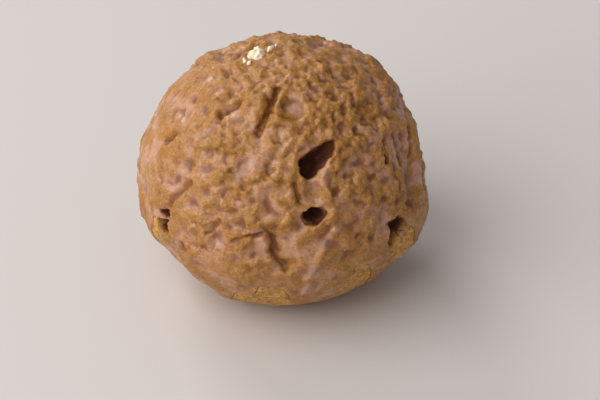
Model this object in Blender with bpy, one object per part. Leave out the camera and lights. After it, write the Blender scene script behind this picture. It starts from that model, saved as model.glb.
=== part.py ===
"""Chocolate cookie cream puff: a choux bun inside a thick, craggy, glazed cookie crust.

The crust covers the bun almost down to the table. It is torn open in a few places, and along its
ragged lower edge the paler bun shows. A little cream has come up through a crack near the top.
Metres, +Z up, front towards -Y. The origin is on the table, under the middle of the puff.
A place on the puff is given as turn and rise in degrees, seen from the middle of its belly: turn goes
round from the front towards +X, and rise goes up from the horizontal.
"""

import math
from collections import namedtuple

import bmesh
import bpy
from mathutils import Matrix, Vector, noise

# Overall form
WIDTH = 0.088
DEPTH = 0.084
HEIGHT = 0.077
BELLY_HEIGHT = 0.030
UNDERSIDE_DEPTH = 0.0365  # how far below the belly the round underside would reach
DOME_SQUARENESS = 2.07
UNDERSIDE_SQUARENESS = 1.7
MIDDLE = Vector((0.0005, -0.0003, BELLY_HEIGHT))  # off the axis, so that the uneven puff is centred
MEAN_RADIUS = (WIDTH + DEPTH) / 4

# Crust, bun and cream
CRUST_THICKNESS = 0.0032
GAP = 0.0003  # between neighbouring pieces
BUN_SET_BACK = 0.0012  # the bare bun lies this far under the overall form
BUN_RELIEF = 0.35  # share of the crust's relief that the smoother bun has
CRUST_CUT_PROUD = 0.003  # below its edge the crust is cut this far past its surface
EDGE_RISE = -37
EDGE_SLANT = 3.5  # degrees over which the crust's edge tapers
EDGE_WAVER = 4
EDGE_WAVES = 5
NOTCH_FLAT = 0.15  # share of a notch's half width that lies at its top
CREAM_WIDTH = 0.0056
CREAM_LENGTH = 0.0060
CREAM_DEPTH = 0.0085
CREAM_SINK = 0.0026  # how far the cream's middle lies under the crust's surface
CREAM_TURN, CREAM_RISE, CREAM_TWIST = -112, 79, 25
CREAM_ROUGHNESS = 0.0006
CREAM_WAVES = 1.9

# Relief of the crust: size of its swells, lumps and crags, and how far they stand out
SWELL_GRAIN, SWELL_HEIGHT = 0.016, 0.0006
LUMP_GRAIN, LUMP_HEIGHT = 0.0060, 0.0011
CRAG_GRAIN, CRAG_HEIGHT = 0.0038, 0.0009
RELIEF_SINK = 0.0005  # the relief lies this far in, so that its tops keep to the overall form
SWELL_START = Vector((3.1, 0, 0))  # where in the noise each relief is read
LUMP_START = Vector((0, 7.3, 0))
CRAG_START = Vector((0, 0, 5.7))
PIT_GRAIN, PIT_ROUGHNESS = 0.0026, 0.0007
PIT_STRIDE = Vector((6.1, 0, 0))  # from one pit's place in the noise to the next

# Facets
CRUST_CELLS = 56  # along each edge of the cube that the crust's round form starts from
CRUST_KEPT = 0.215  # share of the crust's facets kept, most of them where it is craggy
COLUMNS = 76  # round the bun, and round the crust's inner face
ROWS_BELOW_EDGE = 7
ROWS_ABOVE_EDGE = 8
ROWS = ROWS_BELOW_EDGE + 1 + ROWS_ABOVE_EDGE
BALL_FACETS = 2  # subdivisions of a pit's ball, and of the cream's

Bump = namedtuple("Bump", "turn rise reach height flat")
Groove = namedtuple("Groove", "points width depth")
Step = namedtuple("Step", "points lip fade depth")
Notch = namedtuple("Notch", "turn half_width top_rise")
Pit = namedtuple("Pit", "name turn rise across along depth twist lean")

# Swellings, and dents with a negative height; a flat one has a level middle with steep sides
BUMPS = (
    Bump(97, 13, 0.021, -0.0024, 0.0),
    Bump(75, -12, 0.017, 0.0012, 0.0),
    Bump(118, 52, 0.018, 0.0006, 0.0),
    Bump(-150, 57, 0.014, -0.0011, 0.0),
    Bump(-121, 65, 0.009, -0.0010, 0.0),
    Bump(-97, 14, 0.016, 0.0009, 0.0),
    Bump(-61, -18, 0.011, -0.0015, 0.0),
    Bump(-51, -6, 0.008, -0.0010, 0.0),
    Bump(52, -3, 0.008, -0.0016, 0.0),
    Bump(8, -44, 0.007, -0.0011, 0.0),
    Bump(-29, -38, 0.010, 0.0007, 0.0),
    Bump(7, 66, 0.0046, -0.0021, 0.55),
    Bump(-9, 66, 0.0022, -0.0012, 0.2),
    Bump(13, 33, 0.0050, -0.0018, 0.2),
    Bump(-14, 9, 0.0080, 0.0009, 0.0),
    Bump(38, 8, 0.0022, -0.0014, 0.2),
    Bump(-49, 65, 0.0050, -0.0012, 0.2),
    Bump(66, 52, 0.0070, -0.0013, 0.2),
    Bump(15, 8, 0.0045, 0.0008, 0.0),
    Bump(160, 40, 0.0060, -0.0018, 0.3),
    Bump(-150, 20, 0.0070, -0.0015, 0.2),
    Bump(-120, 5, 0.0120, 0.0008, 0.0),
    Bump(140, -5, 0.0130, 0.0008, 0.0),
)

# Creases and tears, each through a few places, deepest along its middle line
GROOVES = (
    Groove(((71, 42), (68, 35), (64, 26), (62, 18), (58, 10)), 0.0016, 0.0008),
    Groove(((84, 33), (76, 27), (70, 17), (66, 8)), 0.0018, 0.0017),
    Groove(((96, 30), (86, 20), (79, 6), (76, -8)), 0.0018, 0.0015),
    Groove(((57, 39), (56, 33)), 0.0014, 0.0014),
    Groove(((-46, 29), (-53, 19), (-55, 12), (-56, 2)), 0.0018, 0.0016),
    Groove(((-21, 12), (-15, 15), (-8, 17)), 0.0012, 0.0012),
    Groove(((-10, 74), (-13, 65), (-17, 56)), 0.0016, 0.0014),
    Groove(((-44, 65), (-50, 57)), 0.0016, 0.0014),
    Groove(((-68, 39), (-71, 35)), 0.0016, 0.0012),
    Groove(((5, 38), (7, 31)), 0.0013, 0.0014),
    Groove(((-108, 72), (-124, 71), (-142, 73)), 0.0016, 0.0026),
    Groove(((175, 22), (168, 8), (172, -8)), 0.0018, 0.0020),
    Groove(((-165, 52), (-150, 44), (-140, 30)), 0.0018, 0.0016),
    Groove(((120, 30), (126, 14), (122, 0)), 0.0018, 0.0017),
    Groove(((-100, 24), (-92, 10), (-96, -6)), 0.0018, 0.0014),
)

# Torn or lapped edges, from top to bottom. To the right of one the surface drops across its lip, and
# comes back as it fades
STEPS = (
    Step(((69, 43), (67, 37), (63, 27), (60, 18), (57, 10)), 0.0012, 0.0110, 0.0022),
    Step(((-8, 17.5), (-7, 10), (-5, 4), (-1, 0)), 0.0010, 0.0100, 0.0021),
)

# Places where the crust's lower edge rises and lets the bun show
NOTCHES = (
    Notch(-7, 18, -12),
    Notch(33, 13, -8),
    Notch(52, 9, -5),
    Notch(60, 9, -7),
    Notch(-58, 12, 3),
    Notch(110, 16, -22),
    Notch(160, 12, -12),
    Notch(-155, 18, -19),
    Notch(-105, 12, -24),
)

# Holes torn through the crust into the bun; lean tips one's floor towards +X
PITS = (
    Pit("large_hole", 14.3, 44, 0.0068, 0.0092, 0.0105, -18, 0),
    Pit("large_hole_arm", 23, 47.5, 0.0094, 0.0056, 0.0080, 42, 0),
    Pit("small_hole", 13.5, 24, 0.0080, 0.0056, 0.0085, 0, -22),
    Pit("right_hole", 55.5, 0.5, 0.0082, 0.0092, 0.0085, 20, 0),
    Pit("left_hole_upper", -56.4, 9.6, 0.0055, 0.0030, 0.0045, 10, 0),
    Pit("left_hole_lower", -57.2, 3.5, 0.0064, 0.0042, 0.0065, 0, 0),
    Pit("back_hole", 150, 27, 0.0066, 0.0050, 0.0080, 30, 0),
    Pit("back_hole_low", -128, 10, 0.0054, 0.0040, 0.0070, -20, 0),
)

GLAZED_CRUST_COLOUR = (0.330, 0.175, 0.088, 1)
BUN_COLOUR = (0.420, 0.235, 0.075, 1)
CREAM_COLOUR = (0.820, 0.740, 0.600, 1)


def clear_scene():
    for thing in list(bpy.data.objects):
        bpy.data.objects.remove(thing)


def collection_named(name):
    made = bpy.data.collections.new(name)
    bpy.context.scene.collection.children.link(made)
    return made


def material_named(name, colour, roughness):
    material = bpy.data.materials.new(name)
    material.use_nodes = True
    shader = material.node_tree.nodes["Principled BSDF"]
    shader.inputs["Base Color"].default_value = colour
    shader.inputs["Roughness"].default_value = roughness
    shader.inputs["Metallic"].default_value = 0
    return material


def direction_of(turn, rise):
    turn, rise = math.radians(turn), math.radians(rise)
    return Vector((math.sin(turn) * math.cos(rise), -math.cos(turn) * math.cos(rise), math.sin(rise)))


def turn_and_rise(direction):
    turn = math.degrees(math.atan2(direction.x, -direction.y))
    return turn, math.degrees(math.asin(max(-1, min(1, direction.z))))


def smooth_step(start, end, value):
    share = max(0, min(1, (value - start) / (end - start)))
    return share * share * (3 - 2 * share)


def plain_radius(direction):
    """Distance from the middle to the smooth form, a dome over a narrower underside."""
    above = direction.z > 0
    tall = HEIGHT - BELLY_HEIGHT if above else UNDERSIDE_DEPTH
    power = DOME_SQUARENESS if above else UNDERSIDE_SQUARENESS
    level = math.hypot(direction.x / (WIDTH / 2), direction.y / (DEPTH / 2))
    return (level**power + abs(direction.z / tall) ** power) ** (-1 / power)


def distance_along(direction, place):
    """Distance over the surface, near enough, between two directions."""
    return (direction - place).length * MEAN_RADIUS


def distance_to_line(direction, points):
    """Distance to a line through a few places, and on which side of it: 1 for its right, -1 for its left."""
    nearest, side = math.inf, 0
    for start, end in zip(points, points[1:]):
        run = end - start
        share = max(0, min(1, (direction - start).dot(run) / run.length_squared))
        away = distance_along(direction, (start + run * share).normalized())
        if away < nearest:
            nearest, side = away, math.copysign(1, run.cross(direction - start).dot(direction))
    return nearest, side


BUMP_PLACES = [(direction_of(bump.turn, bump.rise), bump) for bump in BUMPS]
GROOVE_LINES = [([direction_of(*point) for point in groove.points], groove) for groove in GROOVES]
STEP_LINES = [([direction_of(*point) for point in step.points], step) for step in STEPS]


def shaped_relief(direction):
    """Height of the swellings, dents, creases and steps, each in its own place."""
    height = 0
    for place, bump in BUMP_PLACES:
        away = distance_along(direction, place)
        if away < bump.reach:
            height += bump.height * smooth_step(bump.reach, bump.reach * bump.flat, away)
    for line, groove in GROOVE_LINES:
        away, _ = distance_to_line(direction, line)
        height -= groove.depth * smooth_step(groove.width, 0, away)
    for line, step in STEP_LINES:
        away, side = distance_to_line(direction, line)
        if side > 0:
            drop = smooth_step(0, step.lip, away)
            height -= step.depth * drop * smooth_step(step.fade, step.lip, away)
    return height


def craggy_relief(place):
    """Height of the baked lumps, which cover the crust all over."""
    swell = noise.noise(place / SWELL_GRAIN + SWELL_START)
    lump = noise.noise(place / LUMP_GRAIN + LUMP_START)
    crag = 0.5 - 2 * abs(noise.noise(place / CRAG_GRAIN + CRAG_START))
    return SWELL_HEIGHT * swell + LUMP_HEIGHT * lump + CRAG_HEIGHT * crag - RELIEF_SINK


def crust_radius(direction):
    plain = plain_radius(direction)
    return plain + shaped_relief(direction) + craggy_relief(direction * plain)


def edge_rise(turn):
    """Rise of the crust's ragged lower edge at this turn."""
    lift = 0
    for notch in NOTCHES:
        away = abs((turn - notch.turn + 180) % 360 - 180)
        share = smooth_step(notch.half_width, notch.half_width * NOTCH_FLAT, away)
        lift = max(lift, (notch.top_rise - EDGE_RISE) * share)
    return EDGE_RISE + lift + EDGE_WAVER * noise.noise(direction_of(turn, 0) * EDGE_WAVES)


def hollow_radius(direction):
    """The crust's inner face, which passes out through its surface at the lower edge."""
    turn, rise = turn_and_rise(direction)
    edge = edge_rise(turn)
    below = smooth_step(edge, edge - EDGE_SLANT, rise)
    return crust_radius(direction) - CRUST_THICKNESS + (CRUST_THICKNESS + CRUST_CUT_PROUD) * below


def bun_radius(direction):
    """The bun fills the crust, and where it is bare it is smoother."""
    plain = plain_radius(direction)
    bare = plain + shaped_relief(direction) + BUN_RELIEF * craggy_relief(direction * plain) - BUN_SET_BACK
    return min(hollow_radius(direction) - GAP, bare)


def warped_rise(turn, share):
    """Rise of a row of facets that lies this share of the way up, with two rows along the crust's edge."""
    edge = edge_rise(turn)
    row = share * ROWS
    if row < ROWS_BELOW_EDGE:
        return -90 + (edge - EDGE_SLANT + 90) * row / ROWS_BELOW_EDGE
    if row < ROWS_BELOW_EDGE + 1:
        return edge - EDGE_SLANT * (ROWS_BELOW_EDGE + 1 - row)
    return edge + (90 - edge) * (row - ROWS_BELOW_EDGE - 1) / ROWS_ABOVE_EDGE


def add_object(name, shape, collection, material=None):
    mesh = bpy.data.meshes.new(name)
    shape.to_mesh(mesh)
    shape.free()
    mesh.shade_smooth()
    made = bpy.data.objects.new(name, mesh)
    if material:
        mesh.materials.append(material)
    collection.objects.link(made)
    return made


def even_form(radius_of):
    """An even grid over a ball, each point moved out to its radius."""
    shape = bmesh.new()
    bmesh.ops.create_cube(shape, size=2)
    bmesh.ops.subdivide_edges(shape, edges=shape.edges[:], cuts=CRUST_CELLS - 1, use_grid_fill=True)
    for corner in shape.verts:
        direction = Vector(math.tan(axis * math.pi / 4) for axis in corner.co).normalized()
        corner.co = MIDDLE + direction * radius_of(direction)
    bmesh.ops.triangulate(shape, faces=shape.faces[:], quad_method="FIXED")
    return shape


def banded_form(radius_of, floor=None):
    """A ball in columns and rows that follow the crust's edge, no lower than the floor if one is given."""
    shape = bmesh.new()
    bmesh.ops.create_uvsphere(shape, u_segments=COLUMNS, v_segments=ROWS, radius=1)
    for corner in shape.verts:
        turn, rise = turn_and_rise(corner.co)
        direction = direction_of(turn, warped_rise(turn, (rise + 90) / 180))
        point = MIDDLE + direction * radius_of(direction)
        if floor is not None and point.z < floor:
            point = MIDDLE + direction * ((floor - BELLY_HEIGHT) / direction.z)
            point.z = floor
        corner.co = point
    bmesh.ops.triangulate(shape, faces=shape.faces[:], quad_method="FIXED")
    return shape


def outward_frame(turn, rise, twist, lean):
    """A frame on the crust whose Z points outwards, X round to the right and Y up."""
    direction = direction_of(turn, rise)
    right = direction_of(turn + 90, 0)
    up = direction.cross(right)
    turned = Matrix((right, up, direction)).transposed()
    turned = turned @ Matrix.Rotation(math.radians(twist), 3, "Z") @ Matrix.Rotation(math.radians(lean), 3, "Y")
    return Matrix.Translation(MIDDLE + direction * crust_radius(direction)) @ turned.to_4x4()


def lumpy_ball(sizes, grain, roughness, start):
    """A ball stretched to these half sizes, with an uneven surface."""
    shape = bmesh.new()
    bmesh.ops.create_icosphere(shape, subdivisions=BALL_FACETS, radius=1)
    for corner in shape.verts:
        outward = corner.co.normalized()
        place = outward * sizes
        corner.co = place + outward * roughness * noise.noise(place / grain + start)
    return shape


def add_cutter(name, shape, collection):
    cutter = add_object(name, shape, collection)
    cutter.hide_render = True
    cutter.display_type = "WIRE"
    return cutter


def add_pits(collection):
    for number, pit in enumerate(PITS):
        sizes = Vector((pit.across / 2, pit.along / 2, pit.depth))
        shape = lumpy_ball(sizes, PIT_GRAIN, PIT_ROUGHNESS, PIT_STRIDE * number)
        shape.transform(outward_frame(pit.turn, pit.rise, pit.twist, pit.lean))
        add_cutter(pit.name, shape, collection)


def cream_shape(extra):
    """The cream's body, or with some extra the room that it needs."""
    sizes = Vector((CREAM_WIDTH, CREAM_LENGTH, CREAM_DEPTH)) / 2
    shape = lumpy_ball(sizes, sizes.length / CREAM_WAVES, CREAM_ROUGHNESS, Vector())
    for corner in shape.verts:
        corner.co += corner.co.normalized() * extra
    sunk = Matrix.Translation((0, 0, -CREAM_SINK))
    shape.transform(outward_frame(CREAM_TURN, CREAM_RISE, CREAM_TWIST, 0) @ sunk)
    return shape


def cut(target, collection, name):
    cutting = target.modifiers.new(name, "BOOLEAN")
    cutting.operation = "DIFFERENCE"
    cutting.operand_type = "COLLECTION"
    cutting.collection = collection


def build():
    clear_scene()
    puff = collection_named("cookie_cream_puff")
    hollow = collection_named("crust_hollow")
    openings = collection_named("openings")

    crust_material = material_named("glazed_cookie_crust", GLAZED_CRUST_COLOUR, 0.5)
    bun_material = material_named("baked_choux", BUN_COLOUR, 0.7)
    cream_material = material_named("cream", CREAM_COLOUR, 0.35)

    crust = add_object("cookie_crust", even_form(crust_radius), puff, crust_material)
    bun = add_object("choux_bun", banded_form(bun_radius, floor=0), puff, bun_material)
    add_object("cream", cream_shape(0), puff, cream_material)

    add_cutter("hollow_form", banded_form(hollow_radius), hollow)
    add_pits(openings)
    add_cutter("cream_room", cream_shape(GAP), openings)

    thinning = crust.modifiers.new("facets", "DECIMATE")
    thinning.ratio = CRUST_KEPT
    cut(crust, hollow, "hollow")
    cut(crust, openings, "openings")
    cut(bun, openings, "openings")


build()
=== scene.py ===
"""Looks of a chocolate cookie cream puff: a choux bun under a thick, craggy, glazed cookie crust.

Metres, +Z up, front towards -Y. A place on the puff is given as turn and rise in degrees, seen from the
middle of its belly: turn goes round from the front towards +X, and rise goes up from the horizontal.
The crust and the bun follow the same form as the solids that they stand for, with finer relief on it.
"""

import logging
import math
from dataclasses import dataclass
from enum import Enum
from typing import Any, Callable, Optional

import bmesh
import bpy
import numpy as np
from mathutils import Matrix, Vector, noise


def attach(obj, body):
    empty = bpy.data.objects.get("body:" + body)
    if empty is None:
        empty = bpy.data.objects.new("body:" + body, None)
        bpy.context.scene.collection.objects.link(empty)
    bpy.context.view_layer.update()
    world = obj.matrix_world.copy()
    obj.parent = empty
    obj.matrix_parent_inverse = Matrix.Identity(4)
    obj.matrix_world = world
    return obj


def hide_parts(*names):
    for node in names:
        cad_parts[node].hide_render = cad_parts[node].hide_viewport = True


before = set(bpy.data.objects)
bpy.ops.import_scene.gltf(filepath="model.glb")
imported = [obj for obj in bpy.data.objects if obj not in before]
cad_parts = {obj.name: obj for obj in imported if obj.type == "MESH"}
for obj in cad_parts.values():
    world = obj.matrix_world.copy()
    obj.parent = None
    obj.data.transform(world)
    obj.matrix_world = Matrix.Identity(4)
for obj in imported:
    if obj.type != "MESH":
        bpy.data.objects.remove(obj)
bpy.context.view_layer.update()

MM = 0.001
BODY = "root"
SEED = 7
PEBBLE_SPREAD = 0.75
EASING = 0.7
LEAST_ROUNDS = 2

log = logging.getLogger("cream_puff")


@dataclass(frozen=True)
class Bump:
    """A swelling, or a dent with a negative height; a flat one has a level middle with steep sides."""

    turn: float
    rise: float
    reach: float
    height: float
    flat: float = 0.0


@dataclass(frozen=True)
class Groove:
    """A crease through a few places, deepest along its middle line; a ridge with a negative depth."""

    points: tuple
    width: float
    depth: float


@dataclass(frozen=True)
class Step:
    """A torn or lapped edge, from top to bottom: to its right the surface drops, and comes back."""

    points: tuple
    lip: float
    fade: float
    depth: float


@dataclass(frozen=True)
class Notch:
    """A place where the crust's lower edge rises and lets the bun show."""

    turn: float
    half_width: float
    top_rise: float


@dataclass(frozen=True)
class Pit:
    """A hole torn through the crust into the bun; lean tips its floor towards +X."""

    turn: float
    rise: float
    across: float
    along: float
    depth: float
    twist: float
    lean: float


@dataclass(frozen=True)
class Patch:
    """A stretch of the surface that has more or less of something, strongest at its middle."""

    turn: float
    rise: float
    reach: float
    strength: float


@dataclass(frozen=True)
class Fleck:
    """A small smear of cream on the crust."""

    turn: float
    rise: float
    across: float
    along: float
    twist: float


@dataclass(frozen=True)
class Grain:
    """Baked lumps of one size: how wide and how tall they are, and where in the noise they are read."""

    size: float
    height: float
    start: tuple


BUMPS = (
    Bump(97, 13, 0.021, -0.0024),
    Bump(75, -12, 0.017, 0.0012),
    Bump(118, 52, 0.018, 0.0006),
    Bump(-150, 57, 0.014, -0.0011),
    Bump(-121, 65, 0.009, -0.0010),
    Bump(-97, 14, 0.016, 0.0009),
    Bump(-61, -18, 0.011, -0.0015),
    Bump(-51, -6, 0.008, -0.0010),
    Bump(52, -3, 0.008, -0.0016),
    Bump(8, -44, 0.007, -0.0011),
    Bump(-29, -38, 0.010, 0.0007),
    Bump(7, 66, 0.0046, -0.0021, 0.55),
    Bump(-9, 66, 0.0022, -0.0012, 0.2),
    Bump(13, 33, 0.0050, -0.0018, 0.2),
    Bump(-14, 9, 0.0080, 0.0009),
    Bump(38, 8, 0.0022, -0.0014, 0.2),
    Bump(-49, 65, 0.0050, -0.0012, 0.2),
    Bump(66, 52, 0.0070, -0.0013, 0.2),
    Bump(15, 8, 0.0045, 0.0008),
    Bump(160, 40, 0.0060, -0.0018, 0.3),
    Bump(-150, 20, 0.0070, -0.0015, 0.2),
    Bump(-120, 5, 0.0120, 0.0008),
    Bump(140, -5, 0.0130, 0.0008),
)

GROOVES = (
    Groove(((71, 42), (68, 35), (64, 26), (62, 18), (58, 10)), 0.0016, 0.0008),
    Groove(((84, 33), (76, 27), (70, 17), (66, 8)), 0.0018, 0.0017),
    Groove(((96, 30), (86, 20), (79, 6), (76, -8)), 0.0018, 0.0015),
    Groove(((57, 39), (56, 33)), 0.0014, 0.0014),
    Groove(((-46, 29), (-53, 19), (-55, 12), (-56, 2)), 0.0018, 0.0016),
    Groove(((-21, 12), (-15, 15), (-8, 17)), 0.0012, 0.0012),
    Groove(((-10, 74), (-13, 65), (-17, 56)), 0.0016, 0.0014),
    Groove(((-44, 65), (-50, 57)), 0.0016, 0.0014),
    Groove(((-68, 39), (-71, 35)), 0.0016, 0.0012),
    Groove(((5, 38), (7, 31)), 0.0013, 0.0014),
    Groove(((-108, 72), (-124, 71), (-142, 73)), 0.0016, 0.0026),
    Groove(((175, 22), (168, 8), (172, -8)), 0.0018, 0.0020),
    Groove(((-165, 52), (-150, 44), (-140, 30)), 0.0018, 0.0016),
    Groove(((120, 30), (126, 14), (122, 0)), 0.0018, 0.0017),
    Groove(((-100, 24), (-92, 10), (-96, -6)), 0.0018, 0.0014),
)

STEPS = (
    Step(
        ((71, 47), (69, 43), (66, 35), (64, 31), (63, 26), (62, 21), (60, 15), (56, 11.5), (50, 10.5)),
        0.0009,
        0.0110,
        0.0028,
    ),
    Step(((-8.5, 17.5), (-6.5, 13), (-6.5, 8), (-4, 3.5), (-1, 0)), 0.0008, 0.0090, 0.0026),
)

# Finer shapes of the crust's outer face, seen round the front
DIPS = (
    Bump(-8, 43, 0.0030, -0.0013, 0.2),
    Bump(-30, 44, 0.0026, -0.0010, 0.4),
    Bump(-50, 36, 0.0024, -0.0007, 0.3),
    Bump(-19, 37, 0.0021, -0.0010, 0.1),
    Bump(-46, 42, 0.0035, -0.0006, 0.5),
    Bump(-25, 41, 0.0024, -0.0009, 0.3),
    Bump(-26, 31, 0.0029, -0.0010, 0.4),
    Bump(-16, 29, 0.0026, -0.0007, 0.5),
    Bump(-38, 5, 0.0016, -0.0007, 0.1),
    Bump(-45, -1, 0.0030, -0.0012, 0.2),
    Bump(-34, 4, 0.0018, -0.0008, 0.1),
    Bump(-29, 9, 0.0022, -0.0007, 0.5),
    Bump(-12, 7, 0.0018, -0.0008, 0.1),
    Bump(-22, 21, 0.0018, 0.0005),
    Bump(-62, 24, 0.0040, -0.0006, 0.5),
    Bump(-78, 44, 0.0040, -0.0006, 0.5),
    Bump(-60, 52, 0.0035, -0.0006, 0.5),
    Bump(45, 32, 0.0023, -0.0012, 0.2),
    Bump(34, 36, 0.0024, -0.0009, 0.3),
    Bump(34, 24, 0.0028, -0.0008, 0.3),
    Bump(31, 11, 0.0018, -0.0008, 0.2),
    Bump(28, 3, 0.0050, -0.0007, 0.0),
    Bump(93, 77, 0.0016, -0.0012, 0.1),
    Bump(94, 63, 0.0022, -0.0012, 0.2),
    Bump(50, 59, 0.0032, -0.0008, 0.1),
    Bump(41, 54, 0.0030, -0.0008, 0.1),
    Bump(28, 60, 0.0020, 0.0006),
    Bump(14, 55, 0.0022, 0.0006),
    Bump(1, 56, 0.0024, 0.0006),
    Bump(19, 5, 0.0018, 0.0006, 0.3),
    Bump(7, 66, 0.0068, 0.0011, 0.3),
    Bump(7, 66, 0.0034, -0.0006, 0.5),
    Bump(3, 68, 0.0026, -0.0007, 0.3),
    Bump(63, 53, 0.0050, -0.0010, 0.3),
    Bump(55, 46, 0.0050, 0.0008, 0.2),
    Bump(48, 50, 0.0026, -0.0009, 0.2),
    Bump(75, 60, 0.0040, 0.0007, 0.2),
    Bump(52, 66, 0.0034, -0.0008, 0.3),
    Bump(38, 45, 0.0036, 0.0007, 0.2),
    Bump(52, 24, 0.0040, 0.0006, 0.2),
    Bump(47, 21, 0.0024, -0.0008, 0.2),
    Bump(14, 37.5, 0.0042, -0.0010, 0.3),
    Bump(12, 31, 0.0040, -0.0006, 0.4),
    Bump(-5.5, 15, 0.0030, -0.0012, 0.3),
    Bump(-4.5, 10, 0.0030, -0.0009, 0.3),
)

FOLDS = (
    Groove(((73, 38), (71, 33), (68, 28), (66, 22), (64, 16), (61, 11)), 0.0012, 0.0016),
    Groove(((78, 35), (74, 30), (72, 25), (69, 20), (66, 14), (64, 9)), 0.0011, 0.0014),
    Groove(((81, 32), (77, 27), (74, 21), (71, 16)), 0.0011, 0.0011),
    Groove(((62, 41), (60, 37), (56, 34)), 0.0014, 0.0016),
    Groove(((59, 31), (58, 26), (56, 20)), 0.0014, 0.0010),
    Groove(((-5, 75), (-10, 71), (-14, 67), (-16, 62), (-19, 56)), 0.0015, 0.0014),
    Groove(((-20, 73), (-23, 67), (-26, 60)), 0.0020, -0.0006),
    Groove(((-44, 66), (-47, 62), (-51, 57), (-42, 55)), 0.0014, 0.0010),
    Groove(((-83, 69), (-70, 67), (-55, 66)), 0.0016, 0.0008),
    Groove(((-72, 34), (-66, 41)), 0.0013, 0.0009),
    Groove(((-33, 12), (-28, 19)), 0.0015, 0.0011),
    Groove(((26, 34), (24, 31)), 0.0012, 0.0013),
    Groove(((26, 45), (22, 42), (20, 39), (20, 35), (22, 31)), 0.0017, -0.0009),
    Groove(((-8, 52), (1, 52), (10, 52.5), (19, 54), (31, 53.5)), 0.0022, -0.0008),
    Groove(((7.5, 40), (6.5, 36), (7.5, 31)), 0.0016, 0.0010),
    Groove(((23, 18), (20, 15), (17, 12), (15, 7), (13, 2), (11, -2), (10, -10), (9, -17)), 0.0018, -0.0007),
    Groove(((-25, 26), (-18, 29), (-12, 35)), 0.0018, -0.0006),
    Groove(((-39, 47), (-33, 51), (-25, 53)), 0.0020, -0.0006),
    Groove(((-58, 29), (-52, 31), (-45, 31)), 0.0018, -0.0005),
    Groove(((66, 62), (60, 58), (57, 52)), 0.0014, 0.0010),
    Groove(((-21, 12), (-17, 14), (-13, 15), (-8.5, 17.3)), 0.0014, 0.0011),
    Groove(((80, 50), (74, 47), (70, 41)), 0.0014, 0.0011),
)

NOTCHES = (
    Notch(-6, 17, -8.5),
    Notch(-18, 16, -18),
    Notch(34, 15, -2.5),
    Notch(54, 8, 3),
    Notch(60, 9, 3),
    Notch(-63, 8.5, 5),
    Notch(110, 16, -22),
    Notch(160, 12, -12),
    Notch(-155, 18, -19),
    Notch(-105, 12, -24),
)

PITS = (
    Pit(13.9, 44.3, 0.0066, 0.0080, 0.0105, -18, 0),
    Pit(18, 46.3, 0.0062, 0.0062, 0.0090, 30, 0),
    Pit(23.5, 48, 0.0086, 0.0048, 0.0080, 36, 0),
    Pit(12.5, 24, 0.0070, 0.0054, 0.0085, 0, -15),
    Pit(16, 25, 0.0050, 0.0036, 0.0036, 0, -20),
    Pit(52, 2.5, 0.0058, 0.0088, 0.0085, -12, 0),
    Pit(55.5, 4.0, 0.0074, 0.0048, 0.0080, -25, 0),
    Pit(-56.4, 9.6, 0.0055, 0.0030, 0.0045, 10, 0),
    Pit(-57.2, 3.5, 0.0064, 0.0042, 0.0065, 0, 0),
    Pit(150, 27, 0.0066, 0.0050, 0.0080, 30, 0),
    Pit(-128, 10, 0.0054, 0.0040, 0.0070, -20, 0),
)

FLECKS = (
    Fleck(-95, 75.5, 0.0032, 0.0012, 10),
    Fleck(-88, 77.5, 0.0022, 0.0008, -30),
    Fleck(-142, 82.5, 0.0036, 0.0007, 25),
    Fleck(-165, 79, 0.0022, 0.0007, 60),
)

# Where the crust is covered in small hard grains, and where it has bigger nubs
GRAINY_PATCHES = (
    Patch(35, 68, 0.028, 1.0),
    Patch(62, 50, 0.026, 1.0),
    Patch(98, 45, 0.022, 0.8),
    Patch(-10, 82, 0.020, 0.7),
    Patch(30, 36, 0.017, 0.5),
    Patch(-45, 62, 0.020, 0.4),
    Patch(170, 60, 0.032, 0.8),
    Patch(-150, 35, 0.024, 0.5),
)
RUGGED_PATCHES = (
    Patch(-15, 45, 0.028, 0.9),
    Patch(45, 42, 0.030, 1.0),
    Patch(62, 15, 0.022, 0.9),
    Patch(-20, 18, 0.022, 0.6),
    Patch(0, 72, 0.024, 0.7),
    Patch(170, 30, 0.036, 0.9),
)

# Where the crust has run smooth, and where its glaze has pooled; on the folds at the right the glaze colour
# is a painted highlight
CALM_PATCHES = (
    Patch(-88, 22, 0.034, 0.8),
    Patch(-62, 0, 0.026, 0.75),
    Patch(-30, -15, 0.024, 0.6),
    Patch(12, -2, 0.019, 0.6),
    Patch(42, -8, 0.022, 0.7),
    Patch(13, 35, 0.0090, 1.0),
    Patch(7, 66, 0.0085, 1.0),
    Patch(85, -8, 0.026, 0.7),
    Patch(-55, -28, 0.024, 0.9),
    Patch(-15, -32, 0.026, 0.95),
    Patch(28, -30, 0.024, 0.9),
    Patch(70, -28, 0.024, 0.8),
    Patch(-125, -5, 0.030, 0.7),
    Patch(150, -8, 0.030, 0.7),
)
GLAZE_AND_SHEEN_PATCHES = (
    Patch(13, 36, 0.0060, 1.0),
    Patch(12, 31, 0.0050, 0.9),
    Patch(7, 66, 0.0044, 1.0),
    Patch(22, 17, 0.0030, 0.9),
    Patch(17, 12, 0.0030, 0.9),
    Patch(13, 4, 0.0030, 0.9),
    Patch(11, -3, 0.0035, 0.9),
    Patch(10, -13, 0.0060, 0.8),
    Patch(5, -26, 0.0080, 0.8),
    Patch(30, -16, 0.0080, 0.7),
    Patch(45, 10, 0.0060, 0.4),
    Patch(-30, 44, 0.0024, 0.9),
    Patch(-46, 42, 0.0034, 0.7),
    Patch(-26, 31, 0.0024, 0.8),
    Patch(-16, 29, 0.0024, 0.8),
    Patch(-29, 9, 0.0022, 0.9),
    Patch(-62, 24, 0.0040, 0.5),
    Patch(-78, 44, 0.0040, 0.3),
    Patch(-60, 52, 0.0034, 0.3),
    Patch(-60, 8, 0.0050, 0.6),
    # Painted highlight: the paler glaze colour on the folds at the right, where they catch the light
    Patch(77, 30, 0.0110, 0.7),
    Patch(72, 18, 0.0110, 0.7),
)


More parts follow.
